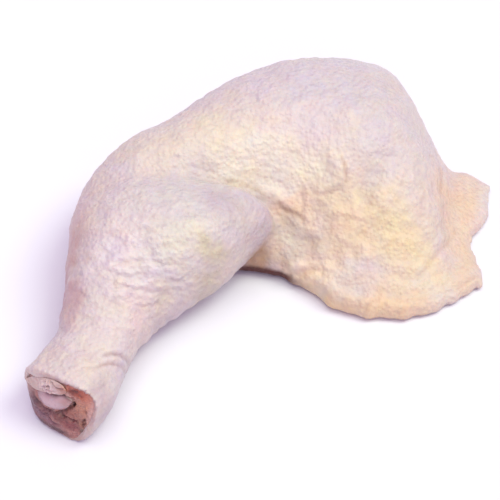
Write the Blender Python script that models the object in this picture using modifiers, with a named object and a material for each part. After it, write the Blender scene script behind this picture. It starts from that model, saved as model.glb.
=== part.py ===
"""Raw chicken leg quarter: drumstick and thigh in one piece, lying skin side up.

The leg is two lofts joined into one solid. The drumstick is a run of upright sections from the cut
hock to the knee. The thigh is a low dome that ends in a thin apron and a torn flap of skin. The hock
is cut open: in the collar of skin sit the meat of the shank and, inside it, the shank bone with its
head of gristle, and both run up inside the drumstick. A strip of tendon lies across the bone's head.

Frame: +X towards the flap, +Y away from the hock, +Z up. The origin is on the surface that the leg
lies on, below the middle of its box. The tables below are drawn in units of about a millimetre, for
a leg 185 units across, and LEG_LENGTH sets the real size of one unit.
"""
import bpy
import bmesh
import numpy as np

LEG_LENGTH = 0.171          # real size across X, in metres
DRAWN_LENGTH = 185.36       # the same in drawing units
UNIT = LEG_LENGTH / DRAWN_LENGTH
DRAWN_MIDDLE = (7.56, 5.2)  # middle of the leg's box in the drawing, which becomes the origin
FIT_GAP = 0.35              # clearance between pieces that touch
WELD = 0.001                # points closer than this are one

# Colours, linear, and roughness.
SKIN_COLOUR = (0.80, 0.67, 0.62)
SKIN_ROUGHNESS = 0.45
MEAT_COLOUR = (0.45, 0.17, 0.12)
MEAT_ROUGHNESS = 0.35
BONE_COLOUR = (0.66, 0.44, 0.43)
BONE_ROUGHNESS = 0.30
TENDON_COLOUR = (0.72, 0.50, 0.47)
TENDON_ROUGHNESS = 0.35

# Drumstick sections from hock to knee: left edge x, y; right edge x, y;
# height of the crown; height of the widest line; shift of the underside to the right.
DRUMSTICK_SECTIONS = (
    (-86.0, -62.0, -58.0, -83.5, 26.5, 16.0, 0.2),      # cut rim of the hock
    (-80.0, -53.5, -51.5, -75.0, 27.5, 14.5, 0.15),     # flare behind the rim
    (-75.5, -46.0, -47.7, -59.9, 28.0, 14.0, 0.0),      # ankle, the narrowest place
    (-73.5, -35.0, -42.9, -47.7, 31.0, 15.0, 0.0),      # shin
    (-72.5, -22.0, -35.2, -37.5, 36.0, 16.0, 0.0),      # start of the calf
    (-72.5, -9.0, -25.4, -28.9, 41.0, 18.0, 0.0),       # lower calf
    (-72.0, 3.0, -11.5, -19.2, 45.0, 20.0, 0.0),        # middle of the calf
    (-70.0, 14.0, 1.3, -5.0, 45.5, 22.0, 0.0),          # fullest part of the calf
    (-66.0, 22.0, 10.0, 6.0, 42.0, 23.0, 0.0),          # shoulder of the calf, at the knee
)
DRUMSTICK_ROWS = 24
DRUMSTICK_SIDES = 24
KNEE_CAP_LENGTH = 8.0       # how far the rounded end runs on into the thigh
KNEE_CAP_ROWS = 4
UNDERSIDE_SWELL = 1.10      # the lower half swells this much, and the surface flattens what is below it
HOCK_LEAN = 0.20            # lean of the cut face, for each millimetre of height
HOCK_LEAN_LEVEL = 24.0      # height at which the cut face doesn't lean out
HOCK_SQUARENESS = 0.22      # how far the cut rim goes from an oval towards a rounded square

# Thigh sections from knee to flap:
# front edge x, y; back edge x, y; height of the crown; its place across; height of the apron;
# height of the widest line in front and behind; power of the front slope.
THIGH_SECTIONS = (
    (-46.0, -4.0, -70.5, 4.0, 34.0, 0.50, 20.0, 12.0, 20.0, 1.4),    # nose, inside the drumstick
    (-43.0, 2.0, -68.5, 21.0, 38.0, 0.52, 25.0, 12.0, 20.0, 1.15),   # knee
    (-31.0, 2.0, -54.5, 42.5, 44.0, 0.55, 28.0, 10.0, 19.0, 1.05),   # above the knee
    (-12.0, 0.2, -28.8, 61.2, 47.0, 0.57, 18.0, 4.0, 18.0, 1.1),     # lower thigh
    (6.0, -1.7, -8.7, 80.4, 49.5, 0.60, 11.5, 3.2, 17.0, 1.2),       # beside the calf
    (20.0, -8.3, 16.0, 91.7, 50.0, 0.62, 9.5, 2.8, 17.0, 1.35),      # fullest part of the thigh
    (36.0, -20.9, 43.0, 94.5, 48.5, 0.64, 8.5, 2.4, 16.0, 1.5),      # upper thigh
    (52.0, -24.4, 61.3, 88.0, 44.0, 0.65, 7.5, 1.9, 14.0, 1.6),      # hip
    (67.0, -23.4, 73.8, 68.0, 28.5, 0.63, 6.5, 1.7, 8.0, 1.7),       # slope to the flap
    (79.5, -17.5, 83.5, 54.8, 10.0, 0.55, 5.0, 1.6, 2.5, 1.8),       # root of the flap
    (85.5, -13.0, 91.5, 52.8, 6.5, 0.53, 4.5, 1.6, 2.0, 1.8),        # middle of the flap
    (91.2, -8.5, 99.0, 47.0, 4.0, 0.50, 4.0, 1.5, 1.8, 1.8),         # torn end of the flap
)
THIGH_ROWS = 32
THIGH_TOP_SIDES = 18
THIGH_UNDER_SIDES = 10
NOSE_LENGTH = 5.0
NOSE_ROWS = 3
APRON_ROUND = 6.0           # width over which the apron's edge is rounded
BACK_ROUND = 14.0           # width over which the back rolls under
BACK_POWER = 2.3            # fullness of the thigh's back
NOTCH_DEPTH = 6.5           # bay torn into the end of the flap
NOTCH_PLACE = 0.40          # its place across the flap, from the front
NOTCH_WIDTH = 0.17
NOTCH_RUN = 2.4             # how many sections before the end the tearing starts
FLAP_ROUND = 1.6
FLAP_ROWS = 2

# Folds pressed into the upper side of the thigh: points x, y along the fold; half width; depth.
THIGH_FOLDS = (
    (((2.0, 14.0), (12.0, 9.0), (19.0, 5.0), (29.0, -2.0)), 3.0, 2.6),      # pit where calf and thigh meet
    (((36.0, 27.0), (39.0, 20.0), (35.0, 15.0), (30.0, 15.0)), 3.0, 1.6),    # hooked crease below the crown
    (((52.0, 27.0), (55.0, 22.0)), 6.0, 2.2),                                # dimple
    (((73.0, 47.0), (76.0, 32.0), (76.0, 16.0), (72.0, -6.0)), 3.5, 1.6),    # fold at the root of the flap
    (((84.0, 9.0), (78.0, -3.0), (69.0, -14.0)), 3.0, 1.2),                  # slanting fold in the apron
)
FOLD_STEPS = 24
FOLD_SHARE = 0.3            # a fold presses in no more than this share of the height

# Inside the shank, from the cut face to the calf: middle x, y, z; half width; half height.
MEAT_PATH = (
    (-71.5, -73.2, 13.9, 14.3, 10.6),     # cut face
    (-67.2, -67.3, 14.1, 14.0, 11.0),
    (-63.6, -60.0, 14.3, 13.0, 11.0),
    (-60.9, -52.2, 14.6, 12.2, 11.2),     # ankle
    (-57.6, -41.0, 15.6, 12.9, 12.0),
    (-52.5, -28.0, 18.0, 15.0, 13.5),
    (-48.0, -15.0, 20.0, 14.0, 13.0),     # inside the calf
)
BONE_PATH = (
    (-74.1, -71.0, 16.4, 7.0, 4.6),       # head of gristle
    (-70.6, -67.0, 15.8, 6.0, 4.4),       # neck
    (-66.3, -61.5, 15.0, 4.4, 3.8),
    (-61.5, -52.5, 14.8, 3.6, 3.6),       # shaft
    (-57.5, -41.0, 15.8, 3.4, 3.4),
    (-53.0, -28.0, 18.0, 3.6, 3.6),
    (-49.5, -18.0, 19.5, 4.0, 4.0),
)
INNER_ROWS = 16
SHORTEST_STEP = 1.0         # the start of a tube and its next section lie at least this far apart
CUT_RUN = 11.0              # length over which the lean and squareness of the cut die out inside
MEAT_SIDES = 22
BONE_SIDES = 14
MEAT_RECESS = 1.8           # how far the cut meat lies behind the rim of skin
BONE_STAND = 1.4            # how far the bone's head stands out of the rim's plane
FACE_ROUND = 1.0            # rounding of the meat at the cut
HEAD_ROUND = 3.0            # rounding of the bone's head
INNER_ROUND = 5.0           # rounding of the ends inside the calf
ROUND_ROWS = 3
CUTTER_REACH = 12.0         # how far a cutter starts in front of the cut face

# Strip of tendon across the top of the bone's head.
TENDON_POINTS = (
    (-81.2, -66.6, 21.2),
    (-78.4, -70.1, 22.9),
    (-75.2, -73.0, 23.5),
    (-71.6, -75.9, 23.0),
    (-68.6, -78.1, 21.2),
)
TENDON_THICKNESS = 1.9
TENDON_SIDES_RESOLUTION = 2
TENDON_STEPS = 12


def smooth_rows(rows, count):
    """Carry a smooth Catmull-Rom curve through the rows of a table and read it at even steps."""
    table = np.array(rows)
    place = np.linspace(0.0, len(table) - 1.0, count)
    low = np.minimum(place.astype(int), len(table) - 2)
    part = (place - low)[:, None]
    before = table[np.maximum(low - 1, 0)]
    start = table[low]
    end = table[low + 1]
    after = table[np.minimum(low + 2, len(table) - 1)]
    slope_start = (end - before) / 2.0
    slope_end = (after - start) / 2.0
    square = part ** 2
    cube = part ** 3
    points = ((2 * cube - 3 * square + 1) * start + (cube - 2 * square + part) * slope_start
              + (3 * square - 2 * cube) * end + (cube - square) * slope_end)
    return points, place


def columns(table, *names):
    """Split a table into columns that broadcast over the points of each section."""
    return [table[:, name:name + 1] for name in names]


def ease(share):
    """Go from 0 to 1 with close steps at both ends, as points round a bend need."""
    return 0.5 - 0.5 * np.cos(np.pi * share)


def quarter_round(share):
    """Height of a quarter circle, 0 at share 0 and 1 from share 1 on."""
    return np.sqrt(1.0 - (1.0 - np.clip(share, 0.0, 1.0)) ** 2)


def rounded_end(ring, middle, along, length, rows):
    """Close a loft: copies of the last ring shrink to the middle as they move along."""
    turn = np.linspace(0.0, np.pi / 2.0, rows + 1)[1:, None, None]
    return middle + (ring - middle) * np.cos(turn) + along * length * np.sin(turn)


def oval(sides, near_cut):
    """Shares of the half width and half height round a section, squarer towards the cut face."""
    turn = np.linspace(0.0, 2.0 * np.pi, sides, endpoint=False)[None, :]
    power = 1.0 - HOCK_SQUARENESS * near_cut
    sideways = np.sign(np.cos(turn)) * np.abs(np.cos(turn)) ** power
    upwards = np.sign(np.sin(turn)) * np.abs(np.sin(turn)) ** power
    return sideways, upwards


def drumstick_loft():
    """Upright sections between the left and right edges, half round above the widest line.

    Below it they swell past the surface that the leg lies on, which flattens them.
    """
    table, place = smooth_rows(DRUMSTICK_SECTIONS, DRUMSTICK_ROWS)
    left = table[:, 0:2]
    right = table[:, 2:4]
    crown, widest, skew = columns(table, 4, 5, 6)
    middle = (left + right) / 2.0
    half = (right - left) / 2.0
    ahead = np.stack([-half[:, 1], half[:, 0]], axis=1)
    ahead /= np.linalg.norm(ahead, axis=1, keepdims=True)
    near_cut = np.clip(1.0 - place, 0.0, 1.0)[:, None]
    sideways, upwards = oval(DRUMSTICK_SIDES, near_cut)
    height = widest + upwards * np.where(upwards > 0.0, crown - widest, widest * UNDERSIDE_SWELL)
    below = skew * np.maximum(-upwards, 0.0)
    across = sideways * (1.0 - below) + below
    lean = HOCK_LEAN * near_cut * (height - HOCK_LEAN_LEVEL)
    flat = middle[:, None, :] + half[:, None, :] * across[..., None]
    flat += ahead[:, None, :] * lean[..., None]
    rings = np.concatenate([flat, height[..., None]], axis=2)
    knee = np.append(middle[-1], widest[-1])
    cap = rounded_end(rings[-1], knee, np.append(ahead[-1], 0.0), KNEE_CAP_LENGTH, KNEE_CAP_ROWS)
    rings = np.concatenate([rings, cap])
    rings[..., 2] = np.maximum(rings[..., 2], 0.0)
    return rings


def fold_depth(flat):
    """Depth pressed in at each point by the nearest place of every fold, dying out sideways."""
    depth = np.zeros(flat.shape[:-1])
    for points, half_width, deepest in THIGH_FOLDS:
        line, _ = smooth_rows(points, FOLD_STEPS)
        away = np.linalg.norm(flat[..., None, :] - line, axis=-1).min(axis=-1)
        depth += deepest * np.exp(-(away / half_width) ** 2)
    return depth


def thigh_loft():
    """Sections from the apron's front edge over the crown to the back and flat underneath.

    The front slope is a power of a sine up to the crown, the back is a full round, and both
    edges roll under. Towards the flap's end the sections are pulled in where the skin is torn.
    """
    table, place = smooth_rows(THIGH_SECTIONS, THIGH_ROWS)
    front = table[:, 0:2]
    across = table[:, 2:4] - front
    crown, crown_place, apron, front_level, back_level, slope_power = columns(table, 4, 5, 6, 7, 8, 9)
    chord = np.linalg.norm(across, axis=1, keepdims=True)
    over = np.tile(ease(np.arange(THIGH_TOP_SIDES) / THIGH_TOP_SIDES), (THIGH_ROWS, 1))
    under = np.tile(1.0 - ease(np.arange(THIGH_UNDER_SIDES) / THIGH_UNDER_SIDES), (THIGH_ROWS, 1))

    climb = np.sin(np.pi / 2.0 * np.minimum(over / crown_place, 1.0)) ** slope_power
    slope = apron + (crown - apron) * climb
    front_side = front_level + (slope - front_level) * quarter_round(over * chord / APRON_ROUND)
    behind = np.clip((over - crown_place) / (1.0 - crown_place), 0.0, 1.0)
    back_side = back_level + (crown - back_level) * np.sqrt(1.0 - behind ** BACK_POWER)
    top = np.where(over < crown_place, front_side, back_side)

    front_roll = front_level * (1.0 - quarter_round(under * chord / APRON_ROUND))
    back_roll = back_level * (1.0 - quarter_round((1.0 - under) * chord / BACK_ROUND))
    bottom = np.maximum(front_roll, back_roll)

    share = np.concatenate([over, under], axis=1)
    flat = front[:, None, :] + across[:, None, :] * share[..., None]
    torn = np.clip((place - place[-1]) / NOTCH_RUN + 1.0, 0.0, 1.0)[:, None]
    flat[..., 0] -= NOTCH_DEPTH * torn * np.exp(-((share - NOTCH_PLACE) / NOTCH_WIDTH) ** 2)
    height = np.concatenate([top, bottom], axis=1)
    upper = np.concatenate([over, under * 0.0], axis=1) > 0.0
    height -= np.minimum(fold_depth(flat), height * FOLD_SHARE) * upper
    rings = np.concatenate([flat, height[..., None]], axis=2)

    first = rings[0]
    inwards = np.append(front[0] + across[0] / 2.0 - front[1] - across[1] / 2.0, 0.0)
    inwards /= np.linalg.norm(inwards)
    nose = rounded_end(first, first.mean(axis=0), inwards, NOSE_LENGTH, NOSE_ROWS)[::-1]
    last = rings[-1]
    seam = last * (1.0, 1.0, 0.0) + (0.0, 0.0, FLAP_ROUND)
    lip = rounded_end(last, seam, np.array((1.0, 0.0, 0.0)), FLAP_ROUND, FLAP_ROWS)
    return np.concatenate([nose, rings, lip])


def inner_loft(path_table, sides, start, near_round, grow=0.0):
    """Oval tube round a path inside the shank, from start to the path's end, with rounded ends.

    A start below zero lies in front of the cut face. The tube is made thicker and longer by grow.
    """
    table, _ = smooth_rows(path_table, INNER_ROWS)
    gaps = np.linalg.norm(np.diff(table[:, 0:3], axis=0), axis=1)
    length = np.append(0.0, np.cumsum(gaps))
    steps = np.append(start, length[length > max(start, 0.0) + SHORTEST_STEP])
    middle, half_width, half_height = (
        np.stack([np.interp(steps, length, column) for column in table[:, first:last].T], axis=1)
        for first, last in ((0, 3), (3, 4), (4, 5)))
    out = (table[0, 0:3] - table[1, 0:3]) / gaps[0]
    middle += out * np.maximum(-steps, 0.0)[:, None]
    ahead = np.gradient(middle, axis=0)
    ahead /= np.linalg.norm(ahead, axis=1, keepdims=True)
    side = np.stack([ahead[:, 1], -ahead[:, 0], np.zeros(len(steps))], axis=1)
    side /= np.linalg.norm(side, axis=1, keepdims=True)
    near_cut = np.clip(1.0 - steps / CUT_RUN, 0.0, 1.0)[:, None]
    sideways, upwards = oval(sides, near_cut)
    rings = (middle[:, None, :] + side[:, None, :] * ((half_width + grow) * sideways)[..., None]
             + np.array((0.0, 0.0, 1.0)) * ((half_height + grow) * upwards)[..., None])
    lean = HOCK_LEAN * near_cut * (rings[..., 2] - HOCK_LEAN_LEVEL)
    rings += ahead[:, None, :] * lean[..., None]
    near = rounded_end(rings[0], rings[0].mean(axis=0), -ahead[0], near_round, ROUND_ROWS)[::-1]
    far = rounded_end(rings[-1], middle[-1], ahead[-1], INNER_ROUND + grow, ROUND_ROWS)
    return np.concatenate([near, rings, far])


def loft_object(name, rings, levels=0):
    """Skin a stack of closed sections with quads and close it at both ends, then smooth it."""
    rows, sides = rings.shape[:2]
    row = np.arange(rows - 1)[:, None] * sides
    column = np.arange(sides)[None, :]
    beside = (column + 1) % sides
    quads = np.stack([row + column, row + beside, row + sides + beside, row + sides + column], axis=-1)
    near = list(range(sides))
    far = [(rows - 1) * sides + side for side in range(sides)]
    mesh = bpy.data.meshes.new(name)
    points = rings.reshape(-1, 3) * UNIT
    mesh.from_pydata(points.tolist(), [], quads.reshape(-1, 4).tolist() + [near, far])
    shaped = bmesh.new()
    shaped.from_mesh(mesh)
    bmesh.ops.remove_doubles(shaped, verts=shaped.verts, dist=WELD * UNIT)
    bmesh.ops.recalc_face_normals(shaped, faces=shaped.faces)
    shaped.to_mesh(mesh)
    shaped.free()
    mesh.shade_smooth()
    thing = bpy.data.objects.new(name, mesh)
    if levels:
        smooth = thing.modifiers.new("Smooth form", "SUBSURF")
        smooth.levels = levels
        smooth.render_levels = levels
    return thing


def boolean(thing, operation, other):
    """Join the other object to a thing or cut it out of it, by a live Boolean modifier."""
    modifier = thing.modifiers.new(operation.capitalize() + " " + other.name, "BOOLEAN")
    modifier.operation = operation
    modifier.solver = "EXACT"
    modifier.object = other


def tendon_object(name):
    """Round strip along a smooth arc, as a curve with a bevel and closed ends."""
    points, _ = smooth_rows(TENDON_POINTS, TENDON_STEPS)
    curve = bpy.data.curves.new(name, "CURVE")
    curve.dimensions = "3D"
    curve.bevel_depth = TENDON_THICKNESS * UNIT / 2.0
    curve.bevel_resolution = TENDON_SIDES_RESOLUTION
    curve.use_fill_caps = True
    spline = curve.splines.new("POLY")
    spline.points.add(TENDON_STEPS - 1)
    spline.points.foreach_set("co", np.append(points * UNIT, np.ones((TENDON_STEPS, 1)), axis=1).ravel())
    return bpy.data.objects.new(name, curve)


def finish(thing, colour, roughness):
    """Give a piece its own plain material."""
    material = bpy.data.materials.new(thing.name)
    material.use_nodes = True
    shader = material.node_tree.nodes["Principled BSDF"]
    shader.inputs["Base Color"].default_value = (*colour, 1.0)
    shader.inputs["Roughness"].default_value = roughness
    shader.inputs["Metallic"].default_value = 0.0
    thing.data.materials.append(material)


def new_collection(name):
    """Add a collection to the scene."""
    collection = bpy.data.collections.new(name)
    bpy.context.scene.collection.children.link(collection)
    return collection


for old in list(bpy.data.objects):
    bpy.data.objects.remove(old)
parts = new_collection("chicken_leg_quarter")
cutters = new_collection("cutters")
drawing_origin = bpy.data.objects.new("drawing_origin", None)
drawing_origin.location = (-DRAWN_MIDDLE[0] * UNIT, -DRAWN_MIDDLE[1] * UNIT, 0.0)
parts.objects.link(drawing_origin)

thigh_form = loft_object("thigh_form", thigh_loft(), levels=1)
shank_room = inner_loft(MEAT_PATH, MEAT_SIDES, -CUTTER_REACH, FACE_ROUND, FIT_GAP)
bone_room = inner_loft(BONE_PATH, BONE_SIDES, -CUTTER_REACH, FACE_ROUND, FIT_GAP)
shank_socket = loft_object("shank_socket", shank_room)
bone_socket = loft_object("bone_socket", bone_room)
for cutter in (thigh_form, shank_socket, bone_socket):
    cutter.hide_render = True
    cutter.display_type = "WIRE"
    cutters.objects.link(cutter)
    cutter.parent = drawing_origin

leg = loft_object("leg", drumstick_loft(), levels=1)
boolean(leg, "UNION", thigh_form)
boolean(leg, "DIFFERENCE", shank_socket)
finish(leg, SKIN_COLOUR, SKIN_ROUGHNESS)

shank_meat = loft_object("shank_meat", inner_loft(MEAT_PATH, MEAT_SIDES, MEAT_RECESS, FACE_ROUND))
boolean(shank_meat, "DIFFERENCE", bone_socket)
finish(shank_meat, MEAT_COLOUR, MEAT_ROUGHNESS)

shank_bone = loft_object("shank_bone", inner_loft(BONE_PATH, BONE_SIDES, -BONE_STAND, HEAD_ROUND))
finish(shank_bone, BONE_COLOUR, BONE_ROUGHNESS)

hock_tendon = tendon_object("hock_tendon")
finish(hock_tendon, TENDON_COLOUR, TENDON_ROUGHNESS)

for piece in (leg, shank_meat, shank_bone, hock_tendon):
    parts.objects.link(piece)
    piece.parent = drawing_origin
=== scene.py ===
import bmesh
import bpy
import numpy as np
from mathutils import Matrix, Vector


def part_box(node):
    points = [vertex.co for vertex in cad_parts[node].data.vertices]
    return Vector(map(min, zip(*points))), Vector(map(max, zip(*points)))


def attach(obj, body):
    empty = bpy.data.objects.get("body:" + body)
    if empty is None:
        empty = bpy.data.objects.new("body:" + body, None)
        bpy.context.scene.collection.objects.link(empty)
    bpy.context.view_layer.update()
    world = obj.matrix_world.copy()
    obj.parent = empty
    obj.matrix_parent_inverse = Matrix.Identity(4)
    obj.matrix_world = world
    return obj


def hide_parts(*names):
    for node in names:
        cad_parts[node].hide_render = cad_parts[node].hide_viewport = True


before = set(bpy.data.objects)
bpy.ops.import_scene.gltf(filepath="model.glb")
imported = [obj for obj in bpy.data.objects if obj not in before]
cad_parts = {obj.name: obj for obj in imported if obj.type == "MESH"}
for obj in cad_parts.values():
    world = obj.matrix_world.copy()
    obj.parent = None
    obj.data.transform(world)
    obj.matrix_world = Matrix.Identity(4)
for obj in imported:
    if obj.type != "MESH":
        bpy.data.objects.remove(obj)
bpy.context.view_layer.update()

# --------------------------------------------------------------------
# Skin of the leg. One raw chicken skin, left on the meat, covers drumstick and thigh: it is tight
# and goose-pimpled over the drumstick, creased where the calf presses into the thigh, thin and
# fatty on the apron, and torn at the flap. It ends in an open collar round the cut hock.

DRAWN_LOW = (-85.12, -83.51)  # lowest corner of the leg in the drawing that the tables use
DRAWN_ACROSS = 185.36  # its size across X there

# From hock to knee: left edge x, y; right edge x, y; height of the crown; height of the widest
# line; shift of the underside to the right.
DRUMSTICK_SECTIONS = (
    (-86.0, -62.0, -58.0, -83.5, 26.5, 16.0, 0.2),
    (-80.0, -53.5, -51.5, -75.0, 27.5, 14.5, 0.15),
    (-75.5, -46.0, -47.7, -59.9, 28.0, 14.0, 0.0),
    (-73.5, -35.0, -42.9, -47.7, 31.0, 15.0, 0.0),
    (-72.5, -22.0, -35.2, -37.5, 36.0, 16.0, 0.0),
    (-72.5, -9.0, -25.4, -28.9, 41.0, 18.0, 0.0),
    (-72.0, 3.0, -11.5, -19.2, 45.0, 20.0, 0.0),
    (-70.0, 14.0, 1.3, -5.0, 45.5, 22.0, 0.0),
    (-66.0, 22.0, 10.0, 6.0, 42.0, 23.0, 0.0),
)
DRUMSTICK_ROWS = 300
DRUMSTICK_SIDES = 240
KNEE_CAP = 8.0  # length of the rounded end inside the thigh
FIRST_STEP = 10.55  # distance between the first two sections
POCKET_DEPTH = 13.0  # how far the collar stands open behind the cut
SKIN_THICKNESS = 1.5
RIM_SETBACK = 4.2  # how far the cut edge is drawn back at the upper right
RIM_SETBACK_TURN = 0.55  # the place round the rim where it is, in radians
RIM_SETBACK_SPREAD = 0.75
RIM_FOLDS = ((2.3, 0.62, 4.2), (5.75, 0.42, 2.4))  # folded edge: turn; spread; extra thickness
CUT_LEAN = 0.2  # how far the cut leans outwards for each unit of height below its top
CUT_TOP = 24.0
CUT_OUTWARDS = np.array((-0.609, -0.793, 0.0))  # unit vectors: out of the cut, and along it
CUT_ACROSS = np.array((0.793, -0.609, 0.0))
SQUARENESS = 0.22  # of the sections near the cut, 0 for an ellipse
LOWER_LEFT_SQUARENESS = 0.23  # added to it at the lower left
CALF_SQUARENESS = 0.3  # of the calf's upper right
LOWER_RIGHT_UPRIGHT = 0.4  # share of the lean that this corner does without
LEFT_TUCK = 0.11  # how far the left side near the cut is drawn in at mid-height

# From knee to flap: front edge x, y; back edge x, y; height of the crown; its place across;
# height of the apron; height of the widest line in front and behind; power of the front slope.
THIGH_SECTIONS = (
    (-46.0, -4.0, -70.5, 4.0, 34.0, 0.50, 20.0, 12.0, 20.0, 1.4),
    (-43.0, 2.0, -68.5, 21.0, 38.0, 0.52, 25.0, 12.0, 20.0, 1.15),
    (-31.0, 2.0, -54.5, 42.5, 44.0, 0.55, 28.0, 10.0, 19.0, 1.05),
    (-12.0, 0.2, -28.8, 61.2, 47.0, 0.57, 18.0, 4.0, 18.0, 1.1),
    (6.0, -1.7, -8.7, 80.4, 49.5, 0.60, 11.5, 3.2, 17.0, 1.2),
    (20.0, -8.3, 16.0, 91.7, 50.0, 0.62, 9.5, 2.8, 17.0, 1.35),
    (36.0, -20.9, 43.0, 94.5, 48.5, 0.64, 8.5, 2.4, 16.0, 1.5),
    (52.0, -24.4, 61.3, 88.0, 44.0, 0.65, 7.5, 1.9, 14.0, 1.6),
    (67.0, -23.4, 73.8, 68.0, 28.5, 0.63, 6.5, 1.7, 8.0, 1.7),
    (79.5, -17.5, 83.5, 54.8, 10.0, 0.55, 5.0, 1.6, 2.5, 1.8),
    (85.5, -13.0, 91.5, 52.8, 6.5, 0.53, 4.5, 1.6, 2.0, 1.8),
    (91.2, -8.5, 99.0, 47.0, 4.0, 0.50, 4.0, 1.5, 1.8, 1.8),
)
THIGH_ROWS = 320
THIGH_TOP_SIDES = 240
THIGH_UNDER_SIDES = 100
FRONT_ROUND = 6.0  # width over which the front edge is rounded
BACK_ROUND = 14.0
APRON_START = 4.3  # the section where the rolled edge of the apron begins
NOSE_LENGTH = 5.0  # length of the rounded end inside the knee
NOTCH_DEPTH = 6.5  # bay torn into the end of the flap
NOTCH_PLACE = 0.40  # its middle, as a share of the way from front to back
NOTCH_WIDTH = 0.17
NOTCH_RUN = 2.4  # how many sections back it reaches
FLAP_END = 1.6  # height of the seam along the flap's torn end, and its rounding

# Folds that are both creases and fine lines of painted shade: points x, y along each.
SHORT_FOLD = ((36.6, 26.5), (37.9, 23.0), (38.6, 19.0))
CROSS_FOLD = ((29.0, 16.0), (32.4, 16.4), (35.8, 17.6))
UPRIGHT_FOLD = ((20.6, 18.6), (21.4, 14.1), (21.2, 11.3), (21.1, 8.5))
FLAP_ROOT = ((79.6, 46.0), (79.0, 40.0), (78.2, 33.0), (77.6, 28.0))
THIGH_END = ((84.5, 19.0), (81.0, 11.0), (77.0, 4.0), (72.0, -4.0), (66.5, -10.5))
UPPER_ANKLE = ((-55.3, -60.9), (-52.0, -58.6), (-48.6, -57.2), (-45.0, -55.6))
LOWER_ANKLE = ((-57.3, -66.2), (-54.0, -63.6), (-50.2, -61.2), (-46.4, -59.2))

# Creases in the skin: points x, y along each; half width; depth; height of the lips beside it.
# A crease with a depth below 0 is a roll that stands up.
CREASES = (
    (((9.5, 15.2), (12.2, 13.3), (15.0, 11.9), (18.0, 10.9), (20.5, 9.8), (22.0, 8.6)),  # pit
     0.8, 0.45, 0.1),
    (((9.0, 17.8), (13.0, 15.3), (17.0, 13.6), (21.0, 12.4)), 2.0, -0.9, 0.0),
    (((3.0, 18.5), (8.0, 16.0), (13.0, 13.0), (17.5, 10.6), (22.0, 8.0)), 2.8, -1.4, 0.0),
    (((16.0, 4.0), (22.0, 3.0), (29.0, 0.5)), 1.5, 0.5, 0.2),
    (SHORT_FOLD, 0.9, 0.4, 0.15),
    (CROSS_FOLD, 0.9, 0.35, 0.15),
    (UPRIGHT_FOLD, 0.8, 0.35, 0.1),
    (((27.0, 34.0), (33.0, 27.0), (33.0, 21.0)), 4.5, -0.7, 0.0),
    (((59.5, 33.0), (51.1, 22.7), (43.0, 13.9)), 5.5, 2.6, 0.2),  # hollow
    (FLAP_ROOT, 1.0, 0.5, 0.3),
    (THIGH_END, 1.0, 0.4, 0.2),
    (((9.6, -5.0), (14.5, -5.6), (19.9, -6.6), (25.5, -7.0)), 1.0, 0.6, 0.6),
    (((42.4, -28.0), (45.8, -23.0), (50.3, -19.6)), 0.9, 0.7, 0.25),
    (((52.7, -29.0), (56.1, -25.4), (61.3, -23.5)), 0.9, 0.7, 0.25),
    (UPPER_ANKLE, 0.7, 0.35, 0.2),
    (LOWER_ANKLE, 0.7, 0.35, 0.2),
)


def smooth_rows(rows, places):
    """Catmull-Rom curve through the rows of a table, read at these places (0 is the first row)."""
    table = np.array(rows)
    low = np.clip(places.astype(int), 0, len(table) - 2)
    part = (places - low)[:, None]
    before, start = table[np.maximum(low - 1, 0)], table[low]
    end, after = table[low + 1], table[np.minimum(low + 2, len(table) - 1)]
    square, cube = part ** 2, part ** 3
    return ((2 * cube - 3 * square + 1) * start + (cube - 2 * square + part) * (end - before) / 2
            + (3 * square - 2 * cube) * end + (cube - square) * (after - start) / 2)


def unit_length(vectors):
    """Vectors divided by their length."""
    return vectors / np.linalg.norm(vectors, axis=-1, keepdims=True)


def bell(distance, width):
    """Bell curve, 1 at distance 0: exp of minus (distance / width) squared."""
    return np.exp(-(distance / width) ** 2)


def oval(points, x, y, spread_x, spread_y):
    """Bell curve over an oval patch, 1 in its middle."""
    return bell(np.hypot((points[..., 0] - x) / spread_x, (points[..., 1] - y) / spread_y), 1.0)


def ramp(value, low, high):
    """0 below low, 1 above high, eased in between."""
    part = np.clip((value - low) / (high - low), 0, 1)
    return part * part * (3 - 2 * part)


def full_turn(count):
    """Angles all round a ring, as one row."""
    return np.linspace(0, 2 * np.pi, count, endpoint=False)[None, :]


def rounded_end(ring, middle, onwards, count):
    """Rings that shrink along a quarter circle from a last ring to its middle, moved onwards."""
    turn = np.linspace(0, np.pi / 2, count)[1:, None, None]
    return middle + (ring - middle) * np.cos(turn) + onwards * np.sin(turn)


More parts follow.
